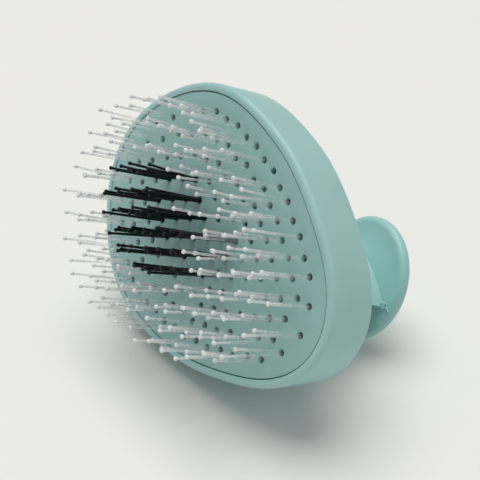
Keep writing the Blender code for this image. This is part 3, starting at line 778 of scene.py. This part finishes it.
def makeCover():
    form = coverForm
    skirt = -rimForm["flangeReach"] - head["seam"]
    inner = skirt - form["skirtThick"]
    edge = form["edgeRound"]
    wall = form["wall"]
    bead = skirt + form["beadReach"]
    beadBack = flangeFront + head["seam"]
    bore = [(form["boreRadius"], padHeight), (form["boreRadius"], padHeight + wall)]
    rings = turnedRings(bore, head["outlineSteps"], (gripX, 0.0))
    for k in range(form["innerSteps"], -1, -1):
        share = k / form["innerSteps"]
        rings.append(domeRing(share, inner, wall - head["rimDepth"], padHeight + wall, wall))
    profile = [(inner, -form["skirtFront"]), (skirt, -form["skirtFront"])]
    profile += [(bead, beadBack + form["beadThick"]), (bead, beadBack), (skirt, beadBack)]
    edgeMiddle = (skirt - edge, edge - head["rimDepth"])
    profile += cornerRound(*edgeMiddle, edge, -math.pi / 2, form["edgeSteps"])[::-1]
    rings += [eggRing(offset, height) for offset, height in profile]
    for k in range(1, form["domeSteps"] + 1):
        share = k / form["domeSteps"]
        rings.append(domeRing(share, skirt - edge, -head["rimDepth"], padHeight, 0.0))
    mesh = bmesh.new()
    skinRings(mesh, rings, True)
    finishPiece("backCover", mesh, shellPlastic, "brush_body", form["crease"], "back_cover")


makeCover()
print("back cover made")

# grip: teardrop neck, knob and strap eyelet in one moulding
gripForm = {
    "neckHalfLength": 0.0132,
    "neckHalfWidth": 0.0064,
    "pointPower": 0.95,  # higher makes the neck's point more slender
    "neckSteps": 160,
    "footFlare": 0.0030,
    "footFlareHeight": 0.0062,
    "footEdge": 0.0007,
    "topFlare": 0.0010,
    "topFlareHeight": 0.0040,
    "flareSteps": 12,
    "knobBack": 0.0532,
    "knobTilt": math.radians(13.0),  # the knob leans toward the egg's narrow end
    "knobRadius": 0.0185,
    "knobThick": 0.0038,
    "knobRound": 0.0019,
    "knobRoundSteps": 16,
    "knobDish": 0.0014,
    "dishSteps": 12,
    "coreShare": 0.38,  # flat middle of the knob's front, as a share of its radius
    "knobSteps": 192,
    "crease": 42.0,
}
eyeletForm = {
    "radius": 0.00082,
    "wire": 0.00034,
    "rise": 0.0009,
    "out": 0.0004,
    "side": 0.0008,
    "tilt": 0.60,
    "steps": 32,
    "wireSteps": 14,
    "tongueReach": 0.0028,  # a small tongue runs from the eyelet out over the knob
    "tongueStart": (0.00060, 0.00030),  # half width and half height
    "tongueEnd": (0.00014, 0.00012),
    "tongueSteps": 8,
}
capForm = {"radius": 0.0146, "thick": 0.0012, "edgeRound": 0.0003, "edgeSteps": 4, "crease": 35.0}
poleRadius = 0.0001  # a turned profile starts and ends this far from its middle line
knobFront = gripForm["knobThick"] - gripForm["knobBack"]
knobMiddle = gripForm["knobThick"] / 2 - gripForm["knobBack"]
knobSlope = math.tan(gripForm["knobTilt"])
knobPlace = Matrix.Translation((gripX, 0.0, knobMiddle)) @ Matrix.Rotation(-gripForm["knobTilt"], 4, "Y")


def teardropRing(grow, height, slope=0.0):
    power = gripForm["pointPower"]
    widest = math.acos(-power / (power + 2))
    peak = math.sin(widest) * math.sin(widest / 2) ** power
    ring = []
    for angle in circleAngles(gripForm["neckSteps"]):
        width = math.sin(angle) * abs(math.sin(angle / 2)) ** power / peak
        along = (gripForm["neckHalfLength"] + grow) * math.cos(angle)
        ring.append((gripX + along, (gripForm["neckHalfWidth"] + grow) * width, height + along * slope))
    return ring


def knobSurface(x):
    # height of the knob's leaning front face at x
    lift = gripForm["knobThick"] / 2 / math.cos(gripForm["knobTilt"])
    return knobMiddle + (x - gripX) * knobSlope + lift


def knobRings(profile):
    # a profile turned about the knob's own middle, set at the knob's place and lean
    rings = turnedRings(profile, gripForm["knobSteps"])
    return [[knobPlace @ Vector(point) for point in ring] for ring in rings]


def addNeck(mesh):
    form = gripForm
    steps = form["flareSteps"]
    foot = padHeight - head["seam"]
    rings = [teardropRing(form["footFlare"], foot)]
    for k in range(steps + 1):
        angle = math.pi / 2 * k / steps
        drop = form["footEdge"] + form["footFlareHeight"] * (1 - math.cos(angle))
        rings.append(teardropRing(form["footFlare"] * (1 - math.sin(angle)), foot - drop))
    topStart = knobFront + form["knobDish"] + form["topFlareHeight"]
    for k in range(steps + 1):
        share = k / steps
        height = topStart - form["topFlareHeight"] * share
        # the flare opens late, so its share is cubed
        rings.append(teardropRing(form["topFlare"] * share ** 3, height, knobSlope))
    neckTop = knobFront - (form["knobThick"] - capForm["thick"]) / 2
    rings.append(teardropRing(form["topFlare"], neckTop, knobSlope))
    skinRings(mesh, rings, False)


def addKnob(mesh):
    # a disc with a dished front, a round rim and a recess for the cap
    form = gripForm
    half = form["knobThick"] / 2
    core = form["knobRadius"] * form["coreShare"]
    rimMiddle = form["knobRadius"] - form["knobRound"]
    dished = half + form["knobDish"]
    profile = [(poleRadius, dished), (core / 2, dished)]
    for k in range(form["dishSteps"] + 1):
        share = k / form["dishSteps"]
        profile.append((core + (rimMiddle - core) * share, half + form["knobDish"] * (1 - share) ** 2))
    for k in range(1, form["knobRoundSteps"] + 1):
        angle = math.pi / 2 - math.pi * k / form["knobRoundSteps"]
        profile.append((rimMiddle + form["knobRound"] * math.cos(angle), half * math.sin(angle)))
    lip = capForm["radius"] + head["seam"]
    recess = capForm["thick"] - half + head["seam"]
    rounding = capForm["edgeRound"]
    profile += [(lip + rounding, -half), (lip, rounding - half), (lip, recess), (poleRadius, recess)]
    skinRings(mesh, knobRings(profile), False)


def wireRing(middle, across, up):
    # a ring round middle, from its two half axes
    angles = circleAngles(eyeletForm["wireSteps"])
    return [middle + across * math.cos(angle) + up * math.sin(angle) for angle in angles]


def addEyelet(mesh):
    form = eyeletForm
    eyeX = gripX + gripForm["neckHalfLength"] + form["radius"] + form["out"]
    eyeZ = knobSurface(eyeX) + form["rise"]
    eye = Matrix.Translation((eyeX, form["side"], eyeZ)) @ Matrix.Rotation(form["tilt"], 4, "Y")
    rings = []
    for turn in circleAngles(form["steps"]):
        away = Vector((math.cos(turn), math.sin(turn), 0.0))
        ring = wireRing(away * form["radius"], away * form["wire"], Vector((0.0, 0.0, form["wire"])))
        rings.append([eye @ point for point in ring])
    skinRings(mesh, rings, True)

    start = eye @ Vector((form["radius"], 0.0, 0.0))
    endX = eyeX + form["tongueReach"]
    end = Vector((endX, 0.0, knobSurface(endX) + form["tongueEnd"][1] / 2))
    rings = []
    for k in range(form["tongueSteps"] + 1):
        share = k / form["tongueSteps"]
        wide, high = (a + (b - a) * share for a, b in zip(form["tongueStart"], form["tongueEnd"]))
        rings.append(wireRing(start.lerp(end, share), Vector((0.0, wide, 0.0)), Vector((0.0, 0.0, high))))
    skinRings(mesh, rings, False)


def makeGrip():
    mesh = bmesh.new()
    addNeck(mesh)
    addKnob(mesh)
    addEyelet(mesh)
    finishPiece("gripMoulding", mesh, gripPlastic, "brush_body", gripForm["crease"], "grip")


def makeCap():
    form = capForm
    outer = -gripForm["knobThick"] / 2
    inner = outer + form["thick"]
    rounding = form["edgeRound"]
    edgeMiddle = (form["radius"] - rounding, outer + rounding)
    profile = [(poleRadius, inner), (form["radius"], inner)]
    profile += cornerRound(*edgeMiddle, rounding, -math.pi / 2, form["edgeSteps"])[::-1]
    profile.append((poleRadius, outer))
    mesh = bmesh.new()
    skinRings(mesh, knobRings(profile), False)
    finishPiece("knobCap", mesh, gripPlastic, "brush_body", form["crease"], "knob_cap")


makeGrip()
makeCap()
print("grip and cap made")

# hidden nodes keep their CAD shape and get a finish
hiddenFinish = {
    "backing_plate": backingPlastic,
    "backing_screw": platedSteel,
    "knob_screw": platedSteel,
    "knob_washer": platedSteel,
    "knob_nut": platedSteel,
}
for name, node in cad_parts.items():
    for start, finish in hiddenFinish.items():
        if name.startswith(start):
            for place in node.material_slots:
                place.material = finish
print("hidden nodes finished")

# floor, light and camera
stageForm = {
    "floorColour": (0.850, 0.847, 0.825),
    "floorDarker": 0.985,  # share of the colour that the darker drifts keep
    "floorHalf": 3.0,
    "floorRoughness": 0.75,
    "floorSheen": 0.15,
    "driftScale": 6.0,
    "driftDetail": 3.0,
    "driftStops": (0.3, 0.7),
    "skyColour": (0.90, 0.92, 0.93),
    "skyStrength": 0.40,
    "backColour": (0.850, 0.853, 0.820),
    "backStrength": 1.0,
    "sunColour": (1.0, 0.985, 0.955),
    "sunStrength": 2.05,
    "sunAngle": 48.0,
    "sunFrom": (-0.23, 0.03, 0.97),
}


def makeFloor():
    form = stageForm
    half = form["floorHalf"]
    data = bpy.data.meshes.new("floor")
    corners = [(-half, -half, 0.0), (half, -half, 0.0), (half, half, 0.0), (-half, half, 0.0)]
    data.from_pydata(corners, [], [(0, 1, 2, 3)])
    floor = bpy.data.objects.new("floor", data)
    bpy.context.scene.collection.objects.link(floor)
    material, tree, shader, place = startMaterial("paleTable", form["floorRoughness"])
    drift = addNoise(tree, place, form["driftScale"], form["driftDetail"])
    darker = tuple(value * form["floorDarker"] for value in form["floorColour"])
    driveColour(tree, shader, drift, form["driftStops"], darker, form["floorColour"])
    shader.inputs["Specular IOR Level"].default_value = form["floorSheen"]
    data.materials.append(material)


def makeSky():
    # the camera sees the pale backdrop, the brush is lit by the softer sky
    world = bpy.data.worlds.new("studio")
    bpy.context.scene.world = world
    world.use_nodes = True
    tree = world.node_tree
    tree.nodes.clear()
    output = tree.nodes.new("ShaderNodeOutputWorld")
    path = tree.nodes.new("ShaderNodeLightPath")
    mix = tree.nodes.new("ShaderNodeMixShader")
    sky = (stageForm["skyColour"], stageForm["skyStrength"])
    backdrop = (stageForm["backColour"], stageForm["backStrength"])
    for place, (colour, strength) in enumerate((sky, backdrop), start=1):
        background = tree.nodes.new("ShaderNodeBackground")
        background.inputs["Color"].default_value = (*colour, 1.0)
        background.inputs["Strength"].default_value = strength
        tree.links.new(background.outputs["Background"], mix.inputs[place])
    tree.links.new(path.outputs["Is Camera Ray"], mix.inputs["Fac"])
    tree.links.new(mix.outputs["Shader"], output.inputs["Surface"])


def makeSun():
    lamp = bpy.data.lights.new("window", "SUN")
    lamp.energy = stageForm["sunStrength"]
    lamp.angle = math.radians(stageForm["sunAngle"])
    lamp.color = stageForm["sunColour"]
    window = bpy.data.objects.new("window", lamp)
    window.rotation_euler = Vector(stageForm["sunFrom"]).to_track_quat("Z", "Y").to_euler()
    bpy.context.scene.collection.objects.link(window)


# the camera, as worked out from the photograph in the brush's own directions
cameraForm = {
    "position": (0.16525, 0.10936, 0.1875),
    "right": (0.56273, 0.43931, -0.70025),
    "up": (-0.58679, 0.80894, 0.03595),
    "forward": (-0.58225, -0.39067, -0.71300),
    "lens": 75.0,
    "sensor": 36.0,
    "clip": (0.01, 20.0),
}


def makeCamera():
    form = cameraForm
    data = bpy.data.cameras.new("photoCamera")
    data.lens = form["lens"]
    data.sensor_width = form["sensor"]
    data.clip_start, data.clip_end = form["clip"]
    camera = bpy.data.objects.new("photoCamera", data)
    backward = [-value for value in form["forward"]]
    turn = Matrix((form["right"], form["up"], backward)).transposed()
    camera.matrix_world = brushToWorld @ Matrix.Translation(form["position"]) @ turn.to_4x4()
    bpy.context.scene.collection.objects.link(camera)
    bpy.context.scene.camera = camera


makeFloor()
makeSky()
makeSun()
makeCamera()
bpy.context.scene.view_settings.view_transform = "Standard"
print("floor, light and camera set")
